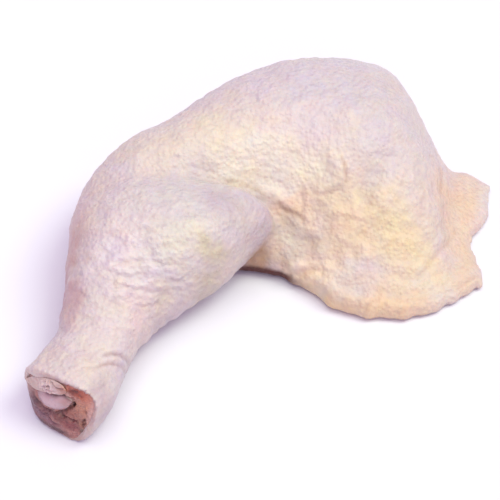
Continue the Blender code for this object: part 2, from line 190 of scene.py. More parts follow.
def drumstick_surface(places, turn):
    """Drumstick at each place along its sections (rows) and each turn round them (columns).

    x, y = middle + half width * cos(turn), z = widest height + rise * sin(turn), where cos and sin
    are raised to a power that squares the section near the cut, most at the lower left, and the
    calf's upper right. The cut leans outwards below, less at the lower right, and is drawn back at
    the upper right. Near it the left side is drawn in at mid-height. Also gives each section's
    middle and its direction to the knee.
    """
    table = smooth_rows(DRUMSTICK_SECTIONS, places)
    left, right = table[:, 0:2], table[:, 2:4]
    crown, widest, skew = table.T[4:, :, None]
    half = (right - left) / 2
    ahead = unit_length(np.stack([-half[:, 1], half[:, 0]], axis=1))
    near_cut = np.clip(1 - places, 0, 1)[:, None]
    shoulder = ramp(np.cos(turn), -0.1, 0.5) * ramp(places[:, None], 4.5, 6.5)
    squareness = SQUARENESS + LOWER_LEFT_SQUARENESS * (np.sin(turn) < 0) * (np.cos(turn) < 0)
    power = 1 - squareness * near_cut - CALF_SQUARENESS * shoulder * (np.sin(turn) > 0)
    tuck = LEFT_TUCK * near_cut * ramp(-np.cos(turn), 0, 0.6) * bell(np.sin(turn) + 0.1, 0.45)
    sideways = np.sign(np.cos(turn)) * np.abs(np.cos(turn)) ** power * (1 - tuck)
    upwards = np.sign(np.sin(turn)) * np.abs(np.sin(turn)) ** power
    height = widest + upwards * np.where(upwards > 0, crown - widest, widest * 1.1)
    below = skew * np.maximum(-upwards, 0)
    corner = ramp(sideways, 0.3, 0.9) * ramp(-upwards, 0, 0.8)
    lean = CUT_LEAN * near_cut * (height - CUT_TOP) * (1 - LOWER_RIGHT_UPRIGHT * corner)
    from_setback = np.angle(np.exp(1j * (turn - RIM_SETBACK_TURN)))
    lean = lean + RIM_SETBACK * near_cut ** 1.5 * bell(from_setback, RIM_SETBACK_SPREAD)
    across = sideways * (1 - below) + below
    flat = ((left + right) / 2)[:, None] + half[:, None] * across[..., None]
    flat = flat + ahead[:, None] * lean[..., None]
    points = np.concatenate([flat, np.maximum(height, 0)[..., None]], axis=2)
    middle = np.concatenate([(left + right) / 2, widest], axis=1)[:, None]
    return points, middle, np.pad(ahead, ((0, 0), (0, 1)))[:, None]


def skin_wall(turn):
    """Thickness of the cut skin round the rim, folded thick at the upper left and lower right."""
    thickness = SKIN_THICKNESS
    for place, spread, extra in RIM_FOLDS:
        thickness = thickness + extra * bell(np.angle(np.exp(1j * (turn - place))), spread)
    return thickness + 0.2 * np.sin(5 * turn + 1)


def drumstick_with_collar():
    """The drumstick's skin as one grid: floor of the open collar, inner wall, lip, outside, knee.

    The inner wall is the outside moved towards the middle by the skin's thickness. The lip is half
    a circle between the two, and the knee is a rounded end.
    """
    turn = full_turn(DRUMSTICK_SIDES)
    floor_rows, wall_rows, lip_rows = 24, 30, 9
    deep, wall_end, lip_place = POCKET_DEPTH / FIRST_STEP, 0.08, 0.04
    places = np.concatenate([np.full(floor_rows, deep), np.linspace(deep, wall_end, wall_rows),
                             np.full(lip_rows, lip_place),
                             np.linspace(wall_end, len(DRUMSTICK_SECTIONS) - 1, DRUMSTICK_ROWS)])
    over_lip = np.concatenate([np.zeros(floor_rows + wall_rows), np.linspace(0, np.pi, lip_rows),
                               np.full(DRUMSTICK_ROWS, np.pi)])[:, None, None]
    inset, outwards = 0.5 + 0.5 * np.cos(over_lip), 0.3 * np.sin(over_lip)
    reach = np.ones(len(places))
    reach[:floor_rows] = np.linspace(0, 1, floor_rows, endpoint=False)
    points, middle, ahead = drumstick_surface(places, turn)
    wall = skin_wall(turn)[..., None]
    points = points - unit_length(points - middle) * inset * wall - ahead * outwards * wall
    points = middle + (points - middle) * reach[:, None, None]
    return np.concatenate([points, rounded_end(points[-1], middle[-1], ahead[-1] * KNEE_CAP, 20)])


def thigh_dome():
    """The thigh as one grid: over the top from the front edge to the back, and back underneath.

    Height in front = apron + (crown - apron) * sin(share across)^power, rounded at the edge; behind
    the crown it is a full round. The edge of the apron waves and is rolled up, and the end of the
    flap is torn: its sections are pulled in at a bay, and its rim is uneven by two sines.
    """
    places = np.linspace(0, len(THIGH_SECTIONS) - 1, THIGH_ROWS)
    table = smooth_rows(THIGH_SECTIONS, places)
    front, across = table[:, 0:2], table[:, 2:4] - table[:, 0:2]
    crown, crown_place, apron, front_level, back_level, power = table.T[4:, :, None]
    chord = np.linalg.norm(across, axis=1, keepdims=True)
    steps = 0.5 - 0.5 * np.cos(np.pi * np.linspace(0, 1, THIGH_TOP_SIDES))[None, :]
    under = 0.5 + 0.5 * np.cos(np.pi * np.linspace(0, 1, THIGH_UNDER_SIDES))[None, 1:-1]

    def edge_round(distance, width):
        """Height share of a quarter circle of this width."""
        return np.sqrt(1 - (1 - np.clip(distance / width, 0, 1)) ** 2)

    climb = np.sin(np.pi / 2 * np.minimum(steps / crown_place, 1)) ** power
    slope = apron + (crown - apron) * climb
    from_edge = steps * chord
    front_side = front_level + (slope - front_level) * edge_round(from_edge, FRONT_ROUND)
    behind = np.clip((steps - crown_place) / (1 - crown_place), 0, 1)
    back_side = back_level + (crown - back_level) * np.sqrt(1 - behind ** 2.3)
    top = np.where(steps < crown_place, front_side, back_side)
    on_apron = np.clip((places - APRON_START) / 0.8, 0, 1)[:, None]
    top = top + on_apron * (0.7 * bell(from_edge - 2.6, 1.6) - 0.6 * bell(from_edge - 6.5, 2.2))
    bottom = np.maximum(front_level * (1 - edge_round(under * chord, FRONT_ROUND)),
                        back_level * (1 - edge_round((1 - under) * chord, BACK_ROUND)))
    height = np.concatenate([top, bottom], axis=1)
    share = np.broadcast_to(np.concatenate([steps, under], axis=1), height.shape)

    run = places[:, None]
    wave = (0.55 * np.sin(7 * run - 1) + 0.3 * np.sin(13.1 * run + 2)) * ramp(run, 3.5, 4.5)
    shift = wave * bell(share * chord, 7.0) / chord
    flat = front[:, None] + across[:, None] * (share - shift)[..., None]
    torn = np.clip((places - places[-1]) / NOTCH_RUN + 1, 0, 1)[:, None]
    flat[..., 0] -= NOTCH_DEPTH * torn * bell(share - NOTCH_PLACE, NOTCH_WIDTH)
    flat[..., 0] += torn ** 2 * (0.6 * np.sin(19 * share + 1) + 0.25 * np.sin(47 * share))
    rings = np.concatenate([flat, height[..., None]], axis=2)

    first, last = rings[0], rings[-1]
    inwards = unit_length(np.append(front[0] + across[0] / 2 - front[1] - across[1] / 2, 0))
    nose = rounded_end(first, first.mean(axis=0), inwards * NOSE_LENGTH, 10)
    lip = rounded_end(last, last * (1, 1, 0) + (0, 0, FLAP_END), np.array((FLAP_END, 0, 0)), 10)
    return np.concatenate([nose[::-1], rings, lip])


def grid_faces(rows, columns, start):
    """Quads between neighbouring rows of closed rings, facing outwards, from a start point on."""
    row = start + np.arange(rows - 1)[:, None] * columns
    column = np.arange(columns)[None, :]
    beside = (column + 1) % columns
    return np.stack([row + column, row + beside, row + columns + beside, row + columns + column],
                    axis=-1).reshape(-1, 4)


def mesh_from_grids(name, *grids):
    """Put closed grids of points into one mesh, each shut at both ends by one many-sided face."""
    start, points, faces = 0, [], []
    for grid in grids:
        rows, columns = grid.shape[:2]
        points.append(grid.reshape(-1, 3))
        faces += grid_faces(rows, columns, start).tolist()
        first = list(range(start, start + columns))
        faces += [first[::-1], [corner + (rows - 1) * columns for corner in first]]
        start += rows * columns
    mesh = bpy.data.meshes.new(name)
    mesh.from_pydata(np.concatenate(points).tolist(), [], faces)
    return mesh


def new_object(name, data):
    """Object with this data, put in the scene."""
    thing = bpy.data.objects.new(name, data)
    bpy.context.scene.collection.objects.link(thing)
    return thing


leg_low, leg_high = (np.array(corner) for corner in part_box("leg"))
unit = (leg_high[0] - leg_low[0]) / DRAWN_ACROSS  # metres for each unit of the drawing

cut_left, cut_right = np.array(DRUMSTICK_SECTIONS[0][0:2]), np.array(DRUMSTICK_SECTIONS[0][2:4])
cut_middle = (cut_left + cut_right) / 2
cut_sideways = unit_length(cut_right - cut_left)
cut_ahead = np.array((-cut_sideways[1], cut_sideways[0]))


def cut_place(points):
    """Place of points on the cut through the hock: across it, height, distance in front of it."""
    from_middle = points[..., :2] - cut_middle
    in_front = CUT_LEAN * (points[..., 2] - CUT_TOP) - from_middle @ cut_ahead
    return np.stack([from_middle @ cut_sideways, points[..., 2], in_front], axis=-1)


def placed(points):
    """Points of the drawing in metres, where the CAD leg lies."""
    return (points - (*DRAWN_LOW, 0)) * unit + (leg_low[0], leg_low[1], 0)


def drawn(points):
    """Points in metres back in the drawing."""
    return (points - (leg_low[0], leg_low[1], 0)) / unit + (*DRAWN_LOW, 0)


def read_rows(items, name, columns=3, kind=float):
    """A value of all points or edges of a mesh as one array, with a row for each."""
    rows = np.empty(len(items) * columns, dtype=kind)
    items.foreach_get(name, rows)
    return rows.reshape(-1, columns)


def read_points(mesh):
    """All points of a mesh, in the drawing."""
    return drawn(read_rows(mesh.vertices, "co"))


def set_points(mesh, points):
    """Move the points of a mesh to these places of the drawing."""
    mesh.vertices.foreach_set("co", placed(points).ravel())
    mesh.update()


def relaxed(points, edges, pull, rounds):
    """Each round moves every point its share `pull` of the way to the mean of its neighbours."""
    one, two = edges.T
    count = np.bincount(np.concatenate([one, two]), minlength=len(points))[:, None]
    for _ in range(rounds):
        total = np.stack([
            np.bincount(one, points[two, k], len(points))
            + np.bincount(two, points[one, k], len(points)) for k in range(3)], axis=1)
        points = points + pull * (total / count - points)
    return points


gradients = unit_length(np.random.default_rng(11).normal(size=(1024, 3)))
# Large numbers that scramble a corner's x, y, z and the seed into a random number.
MIX_X, MIX_Y, MIX_Z, MIX_SEED, MIX_AGAIN = 73856093, 19349663, 83492791, 2654435761, 1274126177


def noise(points, size, seed=0):
    """Gradient noise from about -1 to 1 with lumps of a given size.

    Every corner of a grid of cubes has a random slope. Each point sums the slopes of the eight
    corners round it times its distance from them, eased from corner to corner.
    """
    scaled = points / size
    cell = np.floor(scaled).astype(np.int64)
    part = scaled - cell
    eased = part ** 3 * (part * (part * 6 - 15) + 10)
    total = np.zeros(points.shape[:-1])
    for corner in np.ndindex(2, 2, 2):
        at = cell + corner
        code = at[..., 0] * MIX_X ^ at[..., 1] * MIX_Y ^ at[..., 2] * MIX_Z ^ seed * MIX_SEED
        code = (code ^ code >> 13) * MIX_AGAIN & 0xFFFFFFFF
        slope = gradients[(code ^ code >> 15) & 1023]
        weight = np.where(corner, eased, 1 - eased).prod(axis=-1)
        total += weight * (slope * (part - corner)).sum(axis=-1)
    return total * 1.6


def noises(points, size, seed, count):
    """Several noises side by side."""
    return np.stack([noise(points, size, seed + k) for k in range(count)], axis=1)


LINE_POINTS = 60  # a line is followed by this many points


def near_line(flat, line, reach):
    """Points within reach of a smooth line: their numbers, distance to it, fade at its two ends."""
    course = smooth_rows(line, np.linspace(0, len(line) - 1, LINE_POINTS))
    low, high = course.min(axis=0) - reach, course.max(axis=0) + reach
    near = np.flatnonzero(((flat > low) & (flat < high)).all(axis=1))
    away = np.linalg.norm(flat[near, None] - course, axis=-1)
    fade = np.sin(np.pi * (0.12 + 0.76 * away.argmin(axis=1) / (LINE_POINTS - 1))) ** 0.7
    return near, away.min(axis=1), fade


def crease_relief(flat, creases):
    """Relief of creases at flat places: each is a bell-shaped groove with a lip on either side."""
    relief = np.zeros(len(flat))
    for line, half_width, depth, lip in creases:
        near, away, fade = near_line(flat, line, 4 * half_width)
        lips = lip * bell(away - 2 * half_width, half_width)
        relief[near] += fade * (lips - depth * bell(away, half_width))
    return relief


def wrinkle_rows(points, spacing, seed):
    """Rows of wrinkles across the drumstick like scales, from 0 to 1.

    Each rises steeply below and falls off gently above. The rows swing with noise, and noise breaks
    them up into pieces.
    """
    x, y, z = points.T
    up, away = 0.77 * y + 0.64 * z, 0.77 * z - 0.64 * y
    slow = np.stack([x, up, away], axis=1) / (2.2 * spacing)
    phase = up / spacing + 0.6 * noise(slow, 1.0, seed) + 0.25 * noise(slow, 0.35, seed + 1)
    step = phase - np.floor(phase)
    piece = np.stack([x / (1.4 * spacing), np.floor(phase) * 3.7, away / (2 * spacing)], axis=1)
    return 2.1 * step ** 0.4 * (1 - step) * ramp(noise(piece, 1.0, seed + 2), -0.35, 0.3)


# Oval patches of the skin: middle x, y; spread x, y.
THICK_FAT = (42, 2, 34, 22)
SHIN = (-44, -26, 26, 22)
KNEE = (-55, 24, 20, 18)
WEB = (13, 10, 11, 9)
# Where painted shade lies on the web along the calf's edge.
WEB_NEAR_CALF = (2.5, 1, 5, 8)
# Where painted contact shadow lies under the web's lifted edge.
WEB_EDGE = (6, -3, 14, 9)


def past_calf(x, y):
    """How far a place lies on the drumstick's side of a line through the end of the calf."""
    return 0.46 * y - 0.89 * x


def skin_relief(points):
    """Height of the skin's relief at points of the drawing.

    It sums lumps of fat, softer dents, coarse and fine wrinkles, goose pimples and the creases.
    Pimples are the absolute value of noise, round mounds between sharp valleys. All of it fades
    towards the underside, which lies flat.
    """
    x, y, z = points.T
    on_drumstick = ramp(past_calf(x, y), -6, 12)
    thickness = ramp(z, 3, 14)
    fat = oval(points, *THICK_FAT)
    lumps = 0.8 * noise(points, 17.0, 1) + (0.45 + 0.6 * fat) * noise(points, 8.0, 2)
    dents = (0.26 + 0.35 * fat) * noise(points, 4.4, 3) + 0.14 * noise(points, 2.4, 4)
    shin = oval(points, *SHIN) * on_drumstick
    broken = 0.4 * noise(points * (0.6, 1.0, 1.0), 2.7, 6)
    coarse = (wrinkle_rows(points, 5.6, 5) - 0.3 + broken) * shin
    fine = 0.4 * (wrinkle_rows(points, 2.9, 12) - 0.3) * (0.6 * on_drumstick + 0.4 * shin)
    patchy = 0.45 + 0.55 * ramp(noise(points, 19.0, 10), -0.4, 0.4)
    pimples = (np.abs(noise(points * (0.75, 1.0, 1.0), 2.0, 8)) - 0.25) * patchy
    relief = (lumps * thickness + dents * (0.5 + 0.5 * thickness) + (coarse + fine)
              + 0.26 * pimples)
    relief = relief + crease_relief(points[:, :2], CREASES) * ramp(z, 2, 6)
    return relief * ramp(z, 0.3, 4)


VOXEL = 0.0008  # metres: the grain of the mesh that joins drumstick and thigh
skin_mesh = mesh_from_grids("leg_skin", placed(drumstick_with_collar()), placed(thigh_dome()))
joined = new_object("leg_skin", skin_mesh)
join = joined.modifiers.new("Join drumstick and thigh", "REMESH")
join.mode = "VOXEL"
join.voxel_size = VOXEL
bpy.context.view_layer.update()
joined_shape = joined.evaluated_get(bpy.context.evaluated_depsgraph_get())
skin_mesh = bpy.data.meshes.new_from_object(joined_shape)
bpy.data.objects.remove(joined)
skin_mesh.name = "leg_skin"
leg_skin = new_object("leg_skin", skin_mesh)

edges = read_rows(skin_mesh.edges, "vertices", 2, np.int64)
points = read_points(skin_mesh)
knee = oval(points, *KNEE) * ramp(points[:, 2], 2, 8)
points = relaxed(points, edges, 0.5, 1)
points = relaxed(points, edges, 0.6 * knee[:, None], 60)
web = oval(points, *WEB) * ramp(points[:, 2], 8, 16)
points = relaxed(points, edges, 0.6 * web[:, None], 90)
set_points(skin_mesh, points)
normals = read_rows(skin_mesh.vertex_normals, "vector")
hollow = ((relaxed(points, edges, 0.5, 16) - points) * normals).sum(axis=1)
hollow = np.clip(hollow, 0, 1) * ramp(points[:, 2], 4, 10)
hollow = hollow * ramp(points[:, 1], -40, -30)
relief = skin_relief(points) - 0.3 * hollow
points = points + normals * relief[:, None]
points[:, 2] = np.maximum(points[:, 2], 0)
set_points(skin_mesh, points)
skin_mesh.shade_smooth()


LAMP_SHARE = 0.80  # a surface has this share of the brightness seen under the lamps


def seen_colour(*parts):
    """A surface's own colour from the one it shows under these lamps, on a screen's 0 to 255."""
    return LAMP_SHARE * ((np.array(parts) / 255 + 0.055) / 1.055) ** 2.4


# Colour of the skin and its patches: middle x, y; spread x, y; colour; strength.
SKIN_COLOUR = (233, 217, 213)
SKIN_PATCHES = (
    (45, 64, 46, 30, (227, 215, 219), 0.9),  # thin skin over the dark thigh meat
    (66, 58, 18, 22, (224, 209, 205), 0.7),
    (-5, 33, 44, 12, (242, 226, 203), 0.85),  # band of fat along the top
    # Painted light: the next two lighten the slope between calf and thigh dome, which lies in
    # shade.
    (12, 27, 24, 11, (251, 239, 220), 0.8),
    (23, 19, 15, 8, (255, 241, 214), 0.85),
    (24, 38, 17, 9, (240, 219, 217), 0.7),
    (17, 13, 9, 4, (246, 208, 178), 0.8),  # peachy fold above the pit
    (46, 12, 22, 14, (241, 222, 202), 0.8),
    (46, 8, 14, 12, (242, 220, 185), 0.85),  # thick yellow fat
    (62, -2, 14, 13, (245, 221, 178), 0.9),
    (72, 18, 7, 12, (235, 215, 196), 0.75),
    (35, 4, 16, 12, (244, 216, 182), 0.85),
    (86, 30, 10, 26, (239, 209, 184), 0.95),  # flap
    (88, -2, 10, 14, (237, 208, 182), 0.8),
    (45, -23, 36, 9, (243, 210, 177), 0.9),  # apron
    (24, -7, 9, 6, (252, 225, 200), 0.85),
    (12, -1, 5, 4, (240, 212, 186), 0.8),
    (19, 4, 8, 6, (224, 208, 186), 0.8),  # web of skin between calf and thigh
    (3, 6, 7, 11, (218, 199, 199), 0.75),  # end of the calf
    (11, 10, 4, 4, (234, 208, 202), 0.7),
    (-68, -4, 9, 20, (231, 204, 192), 0.8),
    (-73, -22, 5, 18, (214, 165, 158), 0.9),  # blush on the far side of the drumstick
    (-67, -38, 5, 7, (216, 178, 174), 0.7),
    (-24, 2, 24, 16, (226, 217, 214), 0.8),  # bluish skin of the calf
    (-8, 0, 10, 7, (211, 193, 198), 0.8),
    (-40, -26, 18, 14, (228, 215, 214), 0.8),
    (-27, -16, 10, 10, (238, 228, 212), 0.8),
    (-15, -19, 7, 5, (220, 206, 176), 0.85),  # creamy fat at the shin
    (-33, -36, 8, 5, (228, 210, 194), 0.7),
    (-49, -22, 12, 14, (244, 228, 229), 0.75),
    (-43, -42, 8, 8, (242, 216, 208), 0.7),
    (-66, -66, 12, 10, (232, 213, 207), 0.7),
    (-54, -78, 6, 10, (211, 190, 190), 0.8),  # side of the hock
)

# Painted shade, lilac grey, low on the drumstick's flank.
FLANK_SHADE_LILAC = (214, 198, 206)
# Painted shade, tan, on the web along the calf's edge.
WEB_SHADE_TAN = (200, 162, 126)
# Dark red-brown under the web's lifted edge: partly the red of the meat beneath, mostly painted
# contact shadow.
WEB_EDGE_SHADOW_RED = (92, 24, 14)

# Fine lines of painted shade in creases of the skin: points x, y; half width; colour; strength.
CREASE_SHADE_LINES = (
    (((11.2, 14.0), (13.2, 12.8), (15.0, 11.9), (18.0, 10.9), (20.5, 9.8), (22.0, 8.6)),
     0.6, (136, 96, 76), 0.6),
    (((8.6, 15.8), (12.0, 13.7), (16.8, 11.4), (19.9, 10.2), (22.6, 8.2)),
     1.6, (190, 158, 136), 0.5),
    (((-10.0, 18.6), (-4.0, 18.4), (2.0, 17.9), (6.0, 16.2), (9.2, 14.6)),
     1.0, (216, 192, 166), 0.5),
    (UPRIGHT_FOLD, 0.5, (206, 166, 140), 0.5),
    (SHORT_FOLD, 0.7, (204, 164, 142), 0.6),
    (CROSS_FOLD, 0.7, (206, 166, 142), 0.5),
    (FLAP_ROOT, 0.6, (212, 166, 146), 0.5),
    (THIGH_END, 0.6, (218, 178, 156), 0.4),
    (UPPER_ANKLE, 0.5, (186, 150, 138), 0.6),
    (LOWER_ANKLE, 0.5, (186, 148, 136), 0.6),
)

# The same patches for the raw edge of the skin round the cut: place across, height.
EDGE_COLOUR = (204, 170, 166)
EDGE_PATCHES = (
    (-11.0, 21.0, 9.0, 6.0, (236, 218, 208), 0.95),
    (-11.0, 9.0, 4.0, 7.0, (134, 106, 116), 0.95),
    (-3.0, 1.0, 8.0, 3.0, (126, 96, 110), 0.95),
    (10.0, 2.0, 5.0, 2.6, (200, 172, 158), 0.85),
    (15.0, 8.0, 4.0, 6.0, (226, 204, 194), 0.9),
)


def painted(points, base, patches):
    """Colour at each point: the base, with every patch laid over it and faded from its middle."""
    colour = np.tile(seen_colour(*base), (len(points), 1))
    for x, y, spread_x, spread_y, tone, strength in patches:
        away = np.hypot((points[:, 0] - x) / spread_x, (points[:, 1] - y) / spread_y)
        share = (strength * np.exp(-away ** 3))[:, None]
        colour = colour * (1 - share) + seen_colour(*tone) * share
    return colour


def with_lines(colour, flat, lines):
    """The colour with soft lines over it: points of each line; half width; colour; strength."""
    for line, half_width, tone, strength in lines:
        near, away, fade = near_line(flat, line, 3 * half_width)
        share = (strength * fade * bell(away, half_width))[:, None]
        colour[near] = colour[near] * (1 - share) + seen_colour(*tone) * share
    return colour


def laid_over(colour, tone, share):
    """The colour with another laid over it, by a share for each point."""
    return colour + (tone - colour) * share[:, None]


def tinted(colour, amount, tint):
    """The colour with its red, green and blue changed by a tint, by an amount for each point."""
    return colour * (1 + amount[:, None] * tint)


wander = 6 * noises(points, 14.0, 21, 2) + 2.5 * noises(points, 5.0, 23, 2)
skin_colour = painted(points[:, :2] + wander, SKIN_COLOUR, SKIN_PATCHES)
# Painted shade: the skin is darkened in its hollows.
skin_colour = tinted(skin_colour, np.clip(hollow, 0, 0.5), (-0.10, -0.18, -0.22))
# Painted shade: dark lines along the creases of the skin.
skin_colour = with_lines(skin_colour, points[:, :2], CREASE_SHADE_LINES)
x, y, z = points.T
# Painted shade: the lower flank of the drumstick is made lilac grey.
low_flank_shade = 0.4 * ramp(past_calf(x, y), -4, 6) * (1 - ramp(z, 16, 25))
skin_colour = laid_over(skin_colour, seen_colour(*FLANK_SHADE_LILAC), low_flank_shade)
# Painted shade: the web is darkened to tan close under the calf's edge.
web_shade = oval(points, *WEB_NEAR_CALF) * (1 - ramp(z, 12, 24))
skin_colour = laid_over(skin_colour, seen_colour(*WEB_SHADE_TAN), np.minimum(1.3 * web_shade, 0.9))
# Painted contact shadow, dark red-brown, on the lowest part of the web's edge.
below_web_shadow = oval(points, *WEB_EDGE) * (1 - ramp(z, 4.0, 7.0))
skin_colour = laid_over(skin_colour, seen_colour(*WEB_EDGE_SHADOW_RED), np.minimum(1.6 * below_web_shadow, 1))
streaks = noise(points / (1.4, 13.0, 13.0), 1.0, 33) * ramp(x, 42, 58) * ramp(y, 4, 18)
skin_colour = tinted(skin_colour, 0.045 * streaks, (1, 1.1, 0.8))
apron_rim = ramp(x, 6, 14) * ramp(-y, 2, 9) * (1 - ramp(z, 6, 13))
apron_rim = apron_rim * (1 - 0.7 * ramp(x, 24, 46))
skin_colour = tinted(skin_colour, apron_rim, (0.05, 0.06, -0.13))
# Painted counter-tint: surfaces turned to the back, lit lilac by the sky light, are made greener.
turned_back = ramp(normals[:, 1], 0.3, 0.95) * ramp(z, 10, 20)
skin_colour = tinted(skin_colour, turned_back, (-0.04, 0.05, -0.03))
tinge = (noise(points, 13.0, 25) + 0.9 * noise(points, 5.0, 26))[:, None]
blush = (noise(points, 9.0, 27) + 0.8 * noise(points, 3.5, 28))[:, None]
speckle = noises(points, 2.2, 30, 3)
skin_colour = skin_colour * (1 + tinge * (0.02, 0.015, -0.05) + blush * (0.012, -0.022, -0.01)
                             + 0.018 * speckle)
# Painted light and shade on the fine relief: raised skin lighter, dips darker.
fine_relief = relief - relaxed(relief[:, None] * (1, 1, 1), edges, 0.5, 30)[:, 0]
skin_colour = tinted(skin_colour, np.clip(fine_relief, -0.9, 0.7), (0.11, 0.15, 0.14))
on_cut = cut_place(points)
raw_edge = ramp(on_cut[:, 2], -7.5, -6) * ramp(normals @ CUT_OUTWARDS, 0.45, 0.85)
skin_colour = laid_over(skin_colour, painted(on_cut[:, :2], EDGE_COLOUR, EDGE_PATCHES), raw_edge)


def wire(tree, node, **inputs):
    """Set inputs of a node, or link sockets to them. They go by name, or _0 for the first."""
    for title, value in inputs.items():
        socket = node.inputs[int(title[1:]) if title[1:].isdigit() else title.replace("_", " ")]
        if isinstance(value, bpy.types.NodeSocket):
            tree.links.new(value, socket)
        else:
            socket.default_value = value
    return node


def place_node(tree, kind, settings=(), **inputs):
    """Add a node, set its options, and set or link its inputs."""
    node = tree.nodes.new("ShaderNode" + kind)
    for option, value in dict(settings).items():
        setattr(node, option, value)
    return wire(tree, node, **inputs)


# Wet grain of raw skin and flesh: pimples from soft cells over finer fibre, and a mottle of colour.
wet_grain = bpy.data.node_groups.new("wet_grain", "ShaderNodeTree")
for title, side, kind in (
        ("Vector", "INPUT", "Vector"), ("Pimples", "INPUT", "Float"), ("Fibre", "INPUT", "Float"),
        ("Blotches", "INPUT", "Float"), ("Height", "OUTPUT", "Float"),
        ("Mottle", "OUTPUT", "Float")):
    wet_grain.interface.new_socket(title, in_out=side, socket_type="NodeSocket" + kind)
given = wet_grain.nodes.new("NodeGroupInput").outputs
cells = place_node(wet_grain, "TexVoronoi", {"feature": "SMOOTH_F1"}, Vector=given["Vector"],
                   Scale=given["Pimples"], Smoothness=0.7)
fibre = place_node(wet_grain, "TexNoise", Vector=given["Vector"], Scale=given["Fibre"], Detail=3.0,
                   Roughness=0.6)
blotches = place_node(wet_grain, "TexNoise", Vector=given["Vector"], Scale=given["Blotches"],
                      Detail=5.0, Roughness=0.65)
pimples = place_node(wet_grain, "Math", {"operation": "MULTIPLY"},
                     _0=cells.outputs["Distance"], _1=-1.1)
height = place_node(wet_grain, "Math", {"operation": "MULTIPLY_ADD"},
                    _0=fibre.outputs["Fac"], _1=0.5, _2=pimples.outputs[0])
wire(wet_grain, wet_grain.nodes.new("NodeGroupOutput"), Height=height.outputs[0],
     Mottle=blotches.outputs["Fac"])


GRAIN_DEPTH = 0.0006  # metres
LIGHT_REACH = 0.003  # metres that red light passes into the flesh


def make_flesh(mesh, name, tone, colour, cool, warm, pimples, fibre, blotches, bump, roughness,
               coat, soft):
    """Give a mesh a colour for each point, and a material of wet raw tissue with fine grain.

    The material mottles the colour between a cool and a warm tint, and its roughness swings a
    little with that. Light passes a short way into the flesh.
    """
    layer = mesh.color_attributes.new(tone, "FLOAT_COLOR", "POINT")
    layer.data.foreach_set("color", np.pad(colour, ((0, 0), (0, 1)), constant_values=1).ravel())
    material = bpy.data.materials.new(name)
    mesh.materials.append(material)
    material.use_nodes = True
    tree = material.node_tree
    grain = place_node(tree, "Group", {"node_tree": wet_grain}, Pimples=pimples, Fibre=fibre,
                       Blotches=blotches, Vector=place_node(tree, "TexCoord").outputs["Object"])
    stored = place_node(tree, "VertexColor", {"layer_name": tone}).outputs["Color"]
    spread = place_node(tree, "MapRange", Value=grain.outputs["Mottle"],
                        From_Min=0.32, From_Max=0.68)
    tint = place_node(tree, "Mix", {"data_type": "RGBA"}, _0=spread.outputs[0],
                      _6=(*cool, 1.0), _7=(*warm, 1.0))
    colour = place_node(tree, "Mix", {"data_type": "RGBA", "blend_type": "MULTIPLY"}, _0=1.0,
                        _6=stored, _7=tint.outputs[2])
    dull = place_node(tree, "MapRange", Value=grain.outputs["Mottle"], From_Min=0.3, From_Max=0.7,
                      To_Min=roughness - 0.07, To_Max=roughness + 0.09)
    relief = place_node(tree, "Bump", Height=grain.outputs["Height"], Strength=bump,
                        Distance=GRAIN_DEPTH)
    wire(tree, tree.nodes["Principled BSDF"], Base_Color=colour.outputs[2],
         Roughness=dull.outputs[0], Normal=relief.outputs[0], Coat_Weight=coat, Coat_Roughness=0.3,
         Subsurface_Weight=soft, Subsurface_Radius=(1.0, 0.4, 0.3), Subsurface_Scale=LIGHT_REACH)


make_flesh(skin_mesh, "raw_skin", "skin tone", skin_colour, cool=(0.95, 0.94, 1.0),
           warm=(1.03, 1.02, 0.95), pimples=620, fibre=1500, blotches=420, bump=0.8, roughness=0.45,
           coat=0.12, soft=0.12)
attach(leg_skin, "root")
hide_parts("leg")

# --------------------------------------------------------------------
# Cut meat of the shank. At the hock the joint was cut through: inside the collar of skin shows
# red-brown and maroon flesh, uneven and wet, with a hole and dark specks where vessels end.

FACE_SIDES = 260
FACE_ROWS = 84
SHANK_ROWS = 40
SHANK_END = 5.0  # the section of the drumstick that the meat reaches
SHANK_TIP = 5.0  # length of its rounded tip

# Forms on the cut face: place across, height; spread across, upwards; how far each stands out.
FACE_FORMS = (
    (-7.0, 5.0, 7.0, 5.0, -0.5),  # the lower left falls back
    (6.0, 7.0, 4.0, 2.4, 0.9),  # maroon muscle
    (12.0, 19.0, 4.0, 5.0, 0.9),  # swelling of flesh at the right
    (6.5, 22.8, 1.3, 1.0, -0.6),  # cut vessel
    (-6.0, 23.0, 11.0, 3.2, 1.4),  # flesh up to the skin above the tendon
    (7.5, 17.2, 0.8, 0.6, -1.9),  # hole beside the gristle
    (12.6, 16.7, 0.8, 0.7, -0.8),
    (9.8, 10.6, 1.1, 0.7, -0.9),
    (13.0, 11.9, 0.7, 1.1, -0.9),
    (-1.0, 15.0, 8.5, 4.0, -1.0),  # bed of the gristle
)

# Folds on the cut face: points across, up along each; half width; depth; height of the lips.
FACE_FOLDS = (
    (((-10.3, 13.0), (-8.0, 10.0), (-3.8, 8.8), (1.4, 10.2), (5.2, 13.6), (7.6, 17.0)),
     0.8, 0.8, 0.2),
    (((2.6, 11.0), (3.9, 9.9), (6.0, 10.4), (8.0, 9.6), (9.8, 10.4), (11.0, 8.6)), 0.45, 0.9, 0.5),
    (((13.2, 13.0), (13.6, 11.0), (12.6, 9.6), (13.6, 7.6), (12.2, 5.6)), 0.45, 0.9, 0.5),
    (((-8.6, 6.6), (-5.2, 6.0), (-2.6, 6.6), (0.6, 5.2), (3.4, 5.8)), 0.6, 0.6, 0.4),
)

